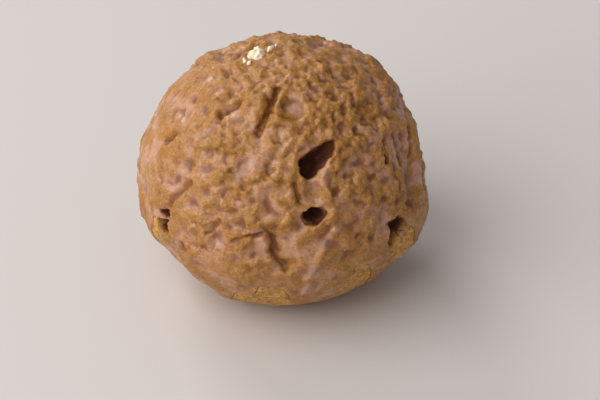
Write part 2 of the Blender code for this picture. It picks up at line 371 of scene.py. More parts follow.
def direction_of(turn: float, rise: float) -> np.ndarray:
    """Unit direction from the belly's middle.

    Args:
        turn: Degrees round from the front towards +X.
        rise: Degrees up from the horizontal.

    Returns:
        The direction as x, y and z.
    """
    turn, rise = math.radians(turn), math.radians(rise)
    return np.array((math.sin(turn) * math.cos(rise), -math.cos(turn) * math.cos(rise), math.sin(rise)))


def turns_and_rises(directions: np.ndarray) -> tuple[np.ndarray, np.ndarray]:
    """Turn and rise of each of some directions.

    Args:
        directions: Unit directions, one in a row.

    Returns:
        The turns and the rises, in degrees.
    """
    turns = np.degrees(np.arctan2(directions[:, 0], -directions[:, 1]))
    return turns, np.degrees(np.arcsin(np.clip(directions[:, 2], -1, 1)))


def smooth_step(start: float, end: float, values: np.ndarray) -> np.ndarray:
    """Share of the way from start to end, eased at both ends.

    Args:
        start: Value at which the share is 0.
        end: Value at which the share is 1.
        values: Values to read.

    Returns:
        The shares, from 0 to 1.
    """
    share = np.clip((values - start) / (end - start), 0, 1)
    return share * share * (3 - 2 * share)


def noise_at(places: np.ndarray, size: float, start: tuple) -> np.ndarray:
    """Smooth noise at some places.

    Args:
        places: Places in metres, one in a row.
        size: Size of the noise's lumps in metres.
        start: Where in the noise the reading starts.

    Returns:
        The noise, roughly from -0.5 to 0.5.
    """
    return np.array([noise.noise(point) for point in (places / size + np.array(start)).tolist()])


def pebbles_at(places: np.ndarray, size: float, start: tuple) -> np.ndarray:
    """Closely packed round pebbles.

    Args:
        places: Places in metres, one in a row.
        size: Spacing of the pebbles in metres.
        start: Where in the noise the reading starts.

    Returns:
        Height of the pebbles, 1 at their tops and about 0 in the gaps between them.
    """
    points = (places / size + np.array(start)).tolist()
    away = np.array([noise.voronoi(point)[0][0] for point in points])
    return np.clip(1 - (away / PEBBLE_SPREAD) ** 2, 0, 1)


def near_line(directions: np.ndarray, points: tuple, reach: float) -> np.ndarray:
    """Which directions can lie within reach of a line through a few places.

    Args:
        directions: Unit directions, one in a row.
        points: Places along the line, each a turn and a rise.
        reach: The reach, on a ball of radius 1.

    Returns:
        The numbers of their rows.
    """
    line = np.array([direction_of(*point) for point in points])
    centre = line.mean(axis=0)
    furthest = np.linalg.norm(line - centre, axis=1).max() + reach
    return np.flatnonzero(np.linalg.norm(directions - centre, axis=1) < furthest)


def distance_to_line(directions: np.ndarray, points: tuple, radius: float) -> tuple[np.ndarray, ...]:
    """Distance over a ball to a line through a few places.

    Args:
        directions: Unit directions, one in a row.
        points: Places along the line, each a turn and a rise.
        radius: Radius of the ball.

    Returns:
        The distances in metres, on which side of the line each direction lies, 1 for its right, and how
        far past an end of the line it lies, in metres.
    """
    line = [direction_of(*point) for point in points]
    nearest = np.full(len(directions), np.inf)
    side = np.zeros(len(directions))
    past = np.zeros(len(directions))
    for number, (start, end) in enumerate(zip(line, line[1:])):
        run = end - start
        share = (directions - start) @ run / (run @ run)
        foot = start + np.clip(share, 0, 1)[:, None] * run
        foot /= np.linalg.norm(foot, axis=1)[:, None]
        away = np.linalg.norm(directions - foot, axis=1) * radius
        turned = np.einsum("ij,ij->i", np.cross(run, directions - start), directions)
        closer = away < nearest
        over = np.where(number == 0, np.maximum(-share, 0), 0)
        over = np.maximum(over, np.where(number == len(line) - 2, np.maximum(share - 1, 0), 0))
        nearest = np.where(closer, away, nearest)
        side = np.where(closer, np.sign(turned), side)
        past = np.where(closer, over * np.linalg.norm(run) * radius, past)
    return nearest, side, past


@dataclass(frozen=True)
class Reading:
    """What the form is at some points: their directions from the belly's middle, and lengths in metres."""

    directions: np.ndarray
    lengths: np.ndarray
    plain: np.ndarray
    shaped: np.ndarray
    dryness: np.ndarray
    craggy: np.ndarray
    calm: np.ndarray

    @property
    def crust(self) -> np.ndarray:
        """Distance to the crust's outer face."""
        return self.plain + self.shaped + self.craggy

    @property
    def depth(self) -> np.ndarray:
        """How far the points lie under the crust's outer face."""
        return self.crust - self.lengths


@dataclass(frozen=True)
class PuffForm:
    """The puff's form: how far its surface lies from the belly's middle in every direction."""

    width: float = 0.088
    depth: float = 0.084
    height: float = 0.077
    belly_height: float = 0.030
    underside_depth: float = 0.0365
    dome_squareness: float = 2.07
    underside_squareness: float = 1.7
    off_axis: tuple = (0.0005, -0.0003)
    crust_thickness: float = 0.0032
    overlap: float = 0.0002
    edge_overlap: float = 0.003
    bun_set_back: float = 0.0001
    bun_relief: float = 0.95
    cut_proud: float = 0.003
    edge_low: float = -37
    edge_slant: float = 5.5
    edge_waver: float = 3
    edge_waves: float = 5
    edge_fray: float = 1.8
    edge_frays: float = 17
    notch_flat: float = 0.15
    swell: Grain = Grain(0.016, 0.0006, (3.1, 0, 0))
    lump: Grain = Grain(0.0062, 0.0013, (0, 7.3, 0))
    crag_dryness: float = 0.8
    crag: Grain = Grain(0.0034, 0.0011, (0, 0, 5.7))
    relief_sink: float = 0.0002
    step_end: float = 0.0030
    ragged: Grain = Grain(0.0024, 0.0011, (4.1, 0, 0))

    @property
    def middle(self) -> np.ndarray:
        """Middle of the belly."""
        return np.array((*self.off_axis, self.belly_height))

    @property
    def mean_radius(self) -> float:
        """Mean of the half width and the half depth."""
        return (self.width + self.depth) / 4

    def patch(self, directions: np.ndarray, turn: float, rise: float) -> np.ndarray:
        """Distance over the surface, near enough, from one place on it.

        Args:
            directions: Unit directions, one in a row.
            turn: Turn of the place.
            rise: Rise of the place.

        Returns:
            The distances in metres.
        """
        return np.linalg.norm(directions - direction_of(turn, rise), axis=1) * self.mean_radius

    def plain(self, directions: np.ndarray) -> np.ndarray:
        """Distance to the smooth form, a dome over a narrower underside.

        Args:
            directions: Unit directions, one in a row.

        Returns:
            The distances in metres.
        """
        above = directions[:, 2] > 0
        tall = np.where(above, self.height - self.belly_height, self.underside_depth)
        power = np.where(above, self.dome_squareness, self.underside_squareness)
        level = np.hypot(directions[:, 0] / (self.width / 2), directions[:, 1] / (self.depth / 2))
        return (level**power + np.abs(directions[:, 2] / tall) ** power) ** (-1 / power)

    def pressed(self, directions: np.ndarray, bumps: tuple, grooves: tuple) -> np.ndarray:
        """Height of some bumps and grooves.

        Args:
            directions: Unit directions, one in a row.
            bumps: The bumps.
            grooves: The grooves.

        Returns:
            The heights in metres.
        """
        height = np.zeros(len(directions))
        for bump in bumps:
            away = self.patch(directions, bump.turn, bump.rise)
            height += bump.height * smooth_step(bump.reach, bump.reach * bump.flat, away)
        for groove in grooves:
            near = near_line(directions, groove.points, 2 * groove.width / self.mean_radius)
            away, _, _ = distance_to_line(directions[near], groove.points, self.mean_radius)
            height[near] -= groove.depth * smooth_step(groove.width, 0, away)
        return height

    def frayed(self, directions: np.ndarray) -> np.ndarray:
        """Moves directions aside a little, so that what is pressed in by them gets ragged edges.

        Args:
            directions: Unit directions, one in a row.

        Returns:
            The moved directions.
        """
        places = directions * self.mean_radius / self.ragged.size + np.array(self.ragged.start)
        aside = np.array([noise.noise_vector(point) for point in places.tolist()])
        moved = directions + aside * (self.ragged.height / self.mean_radius)
        return moved / np.linalg.norm(moved, axis=1)[:, None]

    def shaped(self, directions: np.ndarray) -> np.ndarray:
        """Height of the swellings, dents, creases and steps, each in its own place.

        Args:
            directions: Unit directions, one in a row.

        Returns:
            The heights in metres.
        """
        height = self.pressed(directions, BUMPS, GROOVES)
        for step in STEPS:
            near = near_line(directions, step.points, 2 * step.fade / self.mean_radius)
            away, side, past = distance_to_line(directions[near], step.points, self.mean_radius)
            drop = smooth_step(0, step.lip, away) * smooth_step(step.fade, step.lip, away)
            drop *= smooth_step(self.step_end, 0, past)
            height[near] -= np.where(side > 0, step.depth * drop, 0)
        return height

    def read(self, points: np.ndarray) -> Reading:
        """Reads the form at some points.

        Args:
            points: Points in metres, one in a row.

        Returns:
            What the form is there.
        """
        arms = points - self.middle
        lengths = np.linalg.norm(arms, axis=1)
        directions = arms / lengths[:, None]
        plain = self.plain(directions)
        places = directions * plain[:, None]
        swell = noise_at(places, self.swell.size, self.swell.start)
        lump = noise_at(places, self.lump.size, self.lump.start)
        crag = noise_at(places, self.crag.size, self.crag.start)
        calm = self.share(directions, CALM_PATCHES)
        dryness = lump + self.crag_dryness * crag
        craggy = self.swell.height * swell + self.lump.height * lump + self.crag.height * crag
        craggy *= 1 - calm
        craggy += self.pressed(self.frayed(directions), DIPS, FOLDS) - self.relief_sink
        return Reading(directions, lengths, plain, self.shaped(directions), dryness, craggy, calm)

    def edge(self, turns: np.ndarray) -> np.ndarray:
        """Rise of the crust's ragged lower edge.

        Args:
            turns: Turns in degrees.

        Returns:
            The rises in degrees.
        """
        lift = np.zeros(len(turns))
        for notch in NOTCHES:
            away = np.abs((turns - notch.turn + 180) % 360 - 180)
            share = smooth_step(notch.half_width, notch.half_width * self.notch_flat, away)
            lift = np.maximum(lift, (notch.top_rise - self.edge_low) * share)
        around = np.radians(turns)
        ring = np.stack((np.sin(around), -np.cos(around), np.zeros(len(turns))), axis=1)
        waver = self.edge_waver * noise_at(ring, 1 / self.edge_waves, (0, 0, 0))
        fray = self.edge_fray * noise_at(ring, 1 / self.edge_frays, (0, 0, 2.3))
        return self.edge_low + lift + waver + fray

    def below_edge(self, directions: np.ndarray) -> np.ndarray:
        """How far each direction lies past the crust's lower edge.

        Args:
            directions: Unit directions, one in a row.

        Returns:
            0 at the edge's start, and 1 where its slant ends.
        """
        turns, rises = turns_and_rises(directions)
        return smooth_step(0, self.edge_slant, self.edge(turns) - rises)

    def hollow(self, reading: Reading) -> np.ndarray:
        """Distance to the crust's smooth inner face, which passes out through its edge at the bottom.

        Args:
            reading: The form at some points.

        Returns:
            The distances in metres.
        """
        below = self.below_edge(reading.directions)
        inner = reading.plain + reading.shaped - self.crust_thickness
        return inner + (reading.crust + self.cut_proud - inner) * below

    def bun(self, reading: Reading) -> np.ndarray:
        """Distance to the bun, which fills the crust and is smoother where it is bare.

        Args:
            reading: The form at some points.

        Returns:
            The distances in metres.
        """
        bare = reading.plain + reading.shaped + self.bun_relief * reading.craggy - self.bun_set_back
        held = self.overlap + self.edge_overlap * self.below_edge(reading.directions)
        return np.minimum(self.hollow(reading) + held, bare)

    def outward(self, turn: float, rise: float, twist: float, lean: float) -> Matrix:
        """A frame on the crust whose Z points outwards, X round to the right and Y up.

        Args:
            turn: Turn of the frame's place.
            rise: Rise of the frame's place.
            twist: Degrees that the frame is turned about its Z.
            lean: Degrees that it is then tipped about its Y.

        Returns:
            The frame as a matrix.
        """
        direction = Vector(direction_of(turn, rise))
        right = Vector(direction_of(turn + 90, 0))
        turned = Matrix((right, direction.cross(right), direction)).transposed()
        turned = turned @ Matrix.Rotation(math.radians(twist), 3, "Z")
        turned = turned @ Matrix.Rotation(math.radians(lean), 3, "Y")
        radius = float(self.read(self.middle + np.array(direction)[None]).crust[0])
        return Matrix.Translation(Vector(self.middle) + direction * radius) @ turned.to_4x4()

    def share(self, directions: np.ndarray, patches: tuple) -> np.ndarray:
        """How strongly some patches cover each direction.

        Args:
            directions: Unit directions, one in a row.
            patches: The patches.

        Returns:
            The strengths, from 0 to 1.
        """
        strength = np.zeros(len(directions))
        for patch in patches:
            away = self.patch(directions, patch.turn, patch.rise)
            strength = np.maximum(strength, patch.strength * smooth_step(patch.reach, 0, away))
        return strength


def add_object(name: str, shape: bmesh.types.BMesh, smooth: bool = True) -> bpy.types.Object:
    """Makes an object in the scene from a bmesh, which is freed.

    Args:
        name: Name of the object.
        shape: Its shape.
        smooth: Whether its faces are shaded smooth.

    Returns:
        The object.
    """
    mesh = bpy.data.meshes.new(name)
    shape.to_mesh(mesh)
    shape.free()
    if smooth:
        mesh.shade_smooth()
    made = bpy.data.objects.new(name, mesh)
    bpy.context.scene.collection.objects.link(made)
    return made


def points_of(mesh: bpy.types.Mesh) -> np.ndarray:
    """Places of a mesh's vertices, one in a row."""
    points = np.empty(len(mesh.vertices) * 3, np.float32)
    mesh.vertices.foreach_get("co", points)
    return points.reshape(-1, 3).astype(float)


def normals_of(mesh: bpy.types.Mesh) -> np.ndarray:
    """Normals of a mesh's vertices, one in a row."""
    normals = np.empty(len(mesh.vertices) * 3, np.float32)
    mesh.vertex_normals.foreach_get("vector", normals)
    return normals.reshape(-1, 3).astype(float)


def move_points(mesh: bpy.types.Mesh, points: np.ndarray) -> None:
    """Puts a mesh's vertices at new places, one in a row."""
    mesh.vertices.foreach_set("co", points.astype(np.float32).ravel())
    mesh.update()


def settle(piece: bpy.types.Object) -> None:
    """Applies an object's modifiers, and drops them.

    Args:
        piece: The object.
    """
    shown = piece.evaluated_get(bpy.context.evaluated_depsgraph_get())
    settled = bpy.data.meshes.new_from_object(shown)
    old = piece.data
    piece.modifiers.clear()
    piece.data = settled
    settled.name = piece.name
    bpy.data.meshes.remove(old)
    settled.shade_smooth()


def ball_grid(cells: int) -> bmesh.types.BMesh:
    """An even grid over a ball of radius 1.

    Args:
        cells: Cells along each edge of the cube that the ball starts from.

    Returns:
        The ball.
    """
    shape = bmesh.new()
    bmesh.ops.create_cube(shape, size=2)
    bmesh.ops.subdivide_edges(shape, edges=shape.edges[:], cuts=cells - 1, use_grid_fill=True)
    for corner in shape.verts:
        corner.co = Vector(math.tan(axis * math.pi / 4) for axis in corner.co).normalized()
    return shape


def round_form(name: str, cells: int, form: PuffForm, radius_of: Callable) -> bpy.types.Object:
    """A ball with each point moved out to its radius.

    Args:
        name: Name of the object.
        cells: Cells along each edge of the cube that the ball starts from.
        form: The puff's form.
        radius_of: Gives the radii for a reading of the form.

    Returns:
        The object.
    """
    made = add_object(name, ball_grid(cells))
    reading = form.read(form.middle + points_of(made.data))
    move_points(made.data, form.middle + reading.directions * radius_of(reading)[:, None])
    return made


def eased_points(mesh: bpy.types.Mesh, weights: np.ndarray, rounds: int) -> np.ndarray:
    """Where a mesh's vertices come to lie as they move towards their neighbours' mean.

    Args:
        mesh: The mesh.
        weights: How far each vertex moves, from 0 to 1.
        rounds: How often it is done.

    Returns:
        The places, one in a row.
    """
    pairs = np.empty(len(mesh.edges) * 2, np.int32)
    mesh.edges.foreach_get("vertices", pairs)
    first, second = pairs.reshape(-1, 2).T
    count = len(mesh.vertices)
    shared = np.bincount(first, minlength=count) + np.bincount(second, minlength=count)
    points = points_of(mesh)
    for _ in range(rounds):
        total = np.zeros((count, 3))
        for axis in range(3):
            total[:, axis] = np.bincount(first, points[second, axis], count)
            total[:, axis] += np.bincount(second, points[first, axis], count)
        points += weights[:, None] * (total / shared[:, None] - points)
    return points


def hollows(mesh: bpy.types.Mesh, rounds: int) -> np.ndarray:
    """How far a surface lies under the eased surface round it.

    Args:
        mesh: The surface's mesh.
        rounds: How often the surface round it is eased.

    Returns:
        The depths in metres, one for each vertex; less than 0 on a crest.
    """
    weights = np.full(len(mesh.vertices), EASING)
    apart = eased_points(mesh, weights, rounds) - eased_points(mesh, weights, LEAST_ROUNDS)
    return np.einsum("ij,ij->i", apart, normals_of(mesh))


def set_values(mesh: bpy.types.Mesh, name: str, values: np.ndarray) -> None:
    """Keeps one value for each vertex, for a material to read.

    Args:
        mesh: The mesh.
        name: Name of the attribute.
        values: The values, one for each vertex.
    """
    kept = mesh.attributes.new(name, "FLOAT", "POINT")
    kept.data.foreach_set("value", np.asarray(values, np.float32))


def linear(colour: str) -> tuple[float, float, float, float]:
    """Turns an sRGB hex colour into Blender's linear one.

    Args:
        colour: The hex colour, such as "#A87231".

    Returns:
        Red, green, blue and a full alpha.
    """
    shares = [int(colour[place : place + 2], 16) / 255 for place in (1, 3, 5)]
    red, green, blue = [s / 12.92 if s <= 0.04045 else ((s + 0.055) / 1.055) ** 2.4 for s in shares]
    return red, green, blue, 1.0


def add_node(
    tree: bpy.types.NodeTree,
    kind: str,
    output: Any,
    sockets: Optional[dict] = None,
    stops: Optional[tuple] = None,
    **settings: Any,
) -> bpy.types.NodeSocket:
    """Adds one node with its settings and links.

    Args:
        tree: The material's node tree.
        kind: The node's type.
        output: Name or number of the output that is wanted.
        sockets: For an input's name or number, the value that it holds or the output that feeds it.
        stops: A colour ramp's places and colours.
        **settings: The node's own properties.

    Returns:
        The output.
    """
    made = tree.nodes.new(kind)
    for name, value in settings.items():
        setattr(made, name, value)
    for name, value in (sockets or {}).items():
        if isinstance(value, bpy.types.NodeSocket):
            tree.links.new(value, made.inputs[name])
        else:
            made.inputs[name].default_value = value
    if stops:
        elements = made.color_ramp.elements
        while len(elements) < len(stops):
            elements.new(1)
        for element, (place, colour) in zip(elements, stops):
            element.position = place
            element.color = colour
    return made.outputs[output]


def clouds(
    tree: bpy.types.NodeTree, place: bpy.types.NodeSocket, sizes: tuple
) -> list[bpy.types.NodeSocket]:
    """Soft cloudy patterns, one for each size.

    Args:
        tree: The material's node tree.
        place: Where they are read.
        sizes: For each pattern, how big its lumps are in metres and how detailed it is.

    Returns:
        The patterns.
    """
    return [
        add_node(tree, "ShaderNodeTexNoise", "Fac", {"Vector": place, "Scale": 1 / size, "Detail": detail})
        for size, detail in sizes
    ]


class MixInput(Enum):
    """The inputs of a mix node that mixes colours."""

    SHARE = 0
    FIRST = 6
    SECOND = 7


MIXED_COLOUR = 2


def mixed(
    tree: bpy.types.NodeTree, colour: bpy.types.NodeSocket, share: bpy.types.NodeSocket, other: str
) -> bpy.types.NodeSocket:
    """Mixes some of another colour into one.

    Args:
        tree: The material's node tree.
        colour: The first colour.
        share: How much there is of the other colour.
        other: The other colour, as a hex one.

    Returns:
        The mixed colour.
    """
    inputs = {MixInput.SHARE.value: share, MixInput.FIRST.value: colour, MixInput.SECOND.value: linear(other)}
    return add_node(tree, "ShaderNodeMix", MIXED_COLOUR, inputs, data_type="RGBA")


def new_material(name: str) -> tuple[bpy.types.Material, bpy.types.NodeTree, bpy.types.Node]:
    """Makes a material.

    Args:
        name: Name of the material.

    Returns:
        The material, its node tree and its shader.
    """
    material = bpy.data.materials.new(name)
    material.use_nodes = True
    return material, material.node_tree, material.node_tree.nodes["Principled BSDF"]


@dataclass(frozen=True)
class GlazedCookieFinish:
    """Craggy baked cookie dough under a thin milk chocolate glaze.

    The glaze pools in the dips, where it is pinkish and has a soft sheen; its colour is made paler and pinker
    as a painted sheen. The crests are dry and ochre.
    """

    # The glaze's milk chocolate tone, made paler and pinker as a painted sheen
    glaze_and_sheen_colour: str = "#B9896F"
    dough: str = "#A87231"
    toast: str = "#99651F"
    # Pale painted glints on the grit's tops
    glint_colour: str = "#DBAE7A"
    # Painted shade in the creases
    crease_shade: str = "#7A4515"
    # Painted shade deep in the torn holes
    pit_shade: str = "#64351E"
    glaze_roughness: float = 0.34
    dough_roughness: float = 0.48
    stops: tuple = (0.12, 0.55, 0.95)  # heights at which it is all glaze, all dough and all toast
    wet: float = 0.1
    dried: float = 0.7
    gritty: float = 0.6
    mottle: float = 3.2 * MM
    mottle_share: float = 1.6
    speckle: float = 0.9 * MM
    speckle_share: float = 1.1
    grit: float = 0.55 * MM  # real sugar grit is finer; this is the finest that shows
    grit_height: float = 0.30 * MM
    glaze_grit: float = 0.15
    dough_grit: float = 0.55
    # Where the grit is high enough for a painted glint, and how strong it gets
    glints_from: float = 0.50
    glints_to: float = 0.78
    glints: float = 0.38
    glow: float = 0.25
    glow_radius: tuple = (1.0, 0.45, 0.2)
    glow_depth: float = 1.2 * MM

    def material(self) -> bpy.types.Material:
        """Makes the finish.

        Returns:
            The finish as a material.
        """
        material, tree, shader = new_material("glazed_cookie_crust")
        place = add_node(tree, "ShaderNodeTexCoord", "Object")
        # Dryness, painted shade deep in the torn holes and painted shade in the creases
        height, depth, crease_shade = [
            add_node(tree, "ShaderNodeAttribute", "Fac", attribute_name=name)
            for name in ("dry", "depth", "crease_shade")
        ]
        sizes = ((self.mottle, 3.0), (self.speckle, 2.0), (self.grit, 1.0))
        mottle, speckle, grit = clouds(tree, place, sizes)
        for cloud, share in ((mottle, self.mottle_share), (speckle, self.speckle_share)):
            even = {0: cloud, 1: share, 2: -share / 2}
            uneven = add_node(tree, "ShaderNodeMath", 0, even, operation="MULTIPLY_ADD")
            height = add_node(tree, "ShaderNodeMath", 0, {0: height, 1: uneven}, operation="ADD")
        stops = tuple(zip(self.stops, (linear(self.glaze_and_sheen_colour), linear(self.dough), linear(self.toast))))
        colour = add_node(tree, "ShaderNodeValToRGB", "Color", {"Fac": height}, stops)
        glints, roughness, strength = [
            add_node(
                tree,
                "ShaderNodeMapRange",
                "Result",
                {"Value": value, "From Min": start, "From Max": end, "To Min": low, "To Max": high},
            )
            for value, start, end, low, high in (
                (grit, self.glints_from, self.glints_to, 0.0, self.glints),
                (height, self.wet, self.dried, self.glaze_roughness, self.dough_roughness),
                (height, self.wet, self.gritty, self.glaze_grit, self.dough_grit),
            )
        ]
        # Painted glints on the grit, painted shade in the creases and painted shade deep in the torn holes
        for share, other in ((glints, self.glint_colour), (crease_shade, self.crease_shade), (depth, self.pit_shade)):
            colour = mixed(tree, colour, share, other)
        grainy = {"Height": grit, "Strength": strength, "Distance": self.grit_height}
        bump = add_node(tree, "ShaderNodeBump", "Normal", grainy)
        for name, source in (("Base Color", colour), ("Roughness", roughness), ("Normal", bump)):
            tree.links.new(source, shader.inputs[name])
        shader.inputs["Subsurface Weight"].default_value = self.glow
        shader.inputs["Subsurface Radius"].default_value = self.glow_radius
        shader.inputs["Subsurface Scale"].default_value = self.glow_depth
        return material


@dataclass(frozen=True)
class ChouxFinish:
    """Baked choux pastry: dry, golden and finely porous, with darker brown specks."""

    gold: str = "#BC8940"
    pale: str = "#D0A258"
    brown: str = "#8E5B2A"
    # Painted shade deep in the torn holes
    pit_shade: str = "#64351E"
    stops: tuple = (0.34, 0.46, 0.66)
    roughness: float = 0.7
    mottle: float = 1.3 * MM
    crumb: float = 0.6 * MM
    crumb_height: float = 0.12 * MM
    crumb_strength: float = 0.6

    def material(self) -> bpy.types.Material:
        """Makes the finish.

        Returns:
            The finish as a material.
        """
        material, tree, shader = new_material("baked_choux")
        place = add_node(tree, "ShaderNodeTexCoord", "Object")
        pore, depth = [
            add_node(tree, "ShaderNodeAttribute", "Fac", attribute_name=name) for name in ("pore", "depth")
        ]
        mottle, crumb = clouds(tree, place, ((self.mottle, 3.0), (self.crumb, 2.0)))
        stops = tuple(zip(self.stops, (linear(self.brown), linear(self.gold), linear(self.pale))))
        colour = add_node(tree, "ShaderNodeValToRGB", "Color", {"Fac": mottle}, stops)
        # Brown in the pores, and painted shade deep in the torn holes
        for share, other in ((pore, self.brown), (depth, self.pit_shade)):
            colour = mixed(tree, colour, share, other)
        crumbly = {"Height": crumb, "Strength": self.crumb_strength, "Distance": self.crumb_height}
        bump = add_node(tree, "ShaderNodeBump", "Normal", crumbly)
        tree.links.new(colour, shader.inputs["Base Color"])
        tree.links.new(bump, shader.inputs["Normal"])
        shader.inputs["Roughness"].default_value = self.roughness
        return material


@dataclass(frozen=True)
class CreamFinish:
    """Whipped custard cream: off-white and soft, with a low sheen."""

    cream: str = "#F0E4CC"
    warm: str = "#E2CFA8"
    stops: tuple = (0.40, 0.60)
    roughness: float = 0.38
    mottle: float = 2.0 * MM
    glow: float = 0.3
    glow_radius: tuple = (1.0, 0.8, 0.6)
    glow_depth: float = 0.8 * MM

    def material(self) -> bpy.types.Material:
        """Makes the finish.

        Returns:
            The finish as a material.
        """
        material, tree, shader = new_material("cream")
        place = add_node(tree, "ShaderNodeTexCoord", "Object")
        (mottle,) = clouds(tree, place, ((self.mottle, 2.0),))
        stops = tuple(zip(self.stops, (linear(self.warm), linear(self.cream))))
        colour = add_node(tree, "ShaderNodeValToRGB", "Color", {"Fac": mottle}, stops)
        tree.links.new(colour, shader.inputs["Base Color"])
        shader.inputs["Roughness"].default_value = self.roughness
        shader.inputs["Subsurface Weight"].default_value = self.glow
        shader.inputs["Subsurface Radius"].default_value = self.glow_radius
        shader.inputs["Subsurface Scale"].default_value = self.glow_depth
        return material


@dataclass(frozen=True)
class FloorFinish:
    """Plain pale stoneware, which gives the puff a soft shadow to stand on."""

    colour: str = "#CDC6C3"
    roughness: float = 0.5

    def material(self) -> bpy.types.Material:
        """Makes the finish.

        Returns:
            The finish as a material.
        """
        material, _, shader = new_material("pale_stoneware")
        shader.inputs["Base Color"].default_value = linear(self.colour)
        shader.inputs["Roughness"].default_value = self.roughness
        return material


@dataclass(frozen=True)
class Openings:
    """The holes torn through the crust into the bun."""

    form: PuffForm
    facets: int = 4
    grain: Grain = Grain(0.0026, 0.0007, (0, 0, 0))
    tatter: Grain = Grain(0.0012, 0.0006, (0, 3.7, 0))
    stride: float = 6.1
    rim: float = 0.7 * MM
    round_pit: tuple = (1.6, 1.2)  # shares of a pit's size between which it stops counting as torn

    def pit_frame(self, pit: Pit) -> Matrix:
        """A pit's own frame."""
        return self.form.outward(pit.turn, pit.rise, pit.twist, pit.lean)

    def pit_sizes(self, pit: Pit) -> np.ndarray:
        """A pit's half sizes."""
        return np.array((pit.across / 2, pit.along / 2, pit.depth))

    def cutters(self, name: str) -> list[bpy.types.Object]:
        """One uneven ball for each pit.

        Args:
            name: What their names start with.

        Returns:
            The balls, placed.
        """
        made = []
        for number, pit in enumerate(PITS):
            shape = bmesh.new()
            bmesh.ops.create_icosphere(shape, subdivisions=self.facets, radius=1)
            ball = add_object(f"{name}_{number}", shape)
            outward = points_of(ball.data)
            outward /= np.linalg.norm(outward, axis=1)[:, None]
            places = outward * self.pit_sizes(pit)
            rough = self.grain.height * noise_at(places, self.grain.size, (self.stride * number, 0, 0))
            rough += self.tatter.height * noise_at(places, self.tatter.size, self.tatter.start)
            move_points(ball.data, places + outward * rough[:, None])
            ball.data.transform(self.pit_frame(pit))
            made.append(ball)
        return made

    def nearness(self, points: np.ndarray) -> tuple[np.ndarray, np.ndarray]:
        """How near each point is to a pit's wall, and whether it is in a pit.

        Args:
            points: Points in metres, one in a row.

        Returns:
            1 on a wall, falling to 0 away from it; and 1 in a pit and close round it, else 0.
        """
        near = np.zeros(len(points))
        inside = np.zeros(len(points))
        for pit in PITS:
            inverse = np.array(self.pit_frame(pit).inverted())
            local = points @ inverse[:3, :3].T + inverse[:3, 3]
            sizes = self.pit_sizes(pit)
            share = np.linalg.norm(local / sizes, axis=1)
            away = np.abs(share - 1) * sizes[:2].mean()
            near = np.maximum(near, smooth_step(2 * self.rim, self.rim, away))
            inside = np.maximum(inside, smooth_step(*self.round_pit, share))
        return near, inside


def carve(piece: bpy.types.Object, cutters: list[bpy.types.Object], voxel: float) -> None:
    """Cuts some shapes out of a piece and makes its mesh even.

    Args:
        piece: The piece.
        cutters: The shapes, which are removed.
        voxel: Size of the mesh's cells in metres.
    """
    for cutter in cutters:
        cutting = piece.modifiers.new(cutter.name, "BOOLEAN")
        cutting.operation = "DIFFERENCE"
        cutting.solver = "MANIFOLD"
        cutting.object = cutter
    evening = piece.modifiers.new("even_mesh", "REMESH")
    evening.mode = "VOXEL"
    evening.voxel_size = voxel
    settle(piece)
    for cutter in cutters:
        bpy.data.objects.remove(cutter)


def thin_out(piece: bpy.types.Object, triangles: int) -> None:
    """Brings a piece down to a number of triangles, most of them where its surface is rough.

    Args:
        piece: The piece.
        triangles: The most triangles that it may have.
    """
    corners = sum(len(face.vertices) - 2 for face in piece.data.polygons)
    if corners > triangles:
        thinning = piece.modifiers.new("facets", "DECIMATE")
        thinning.ratio = triangles / corners
        settle(piece)


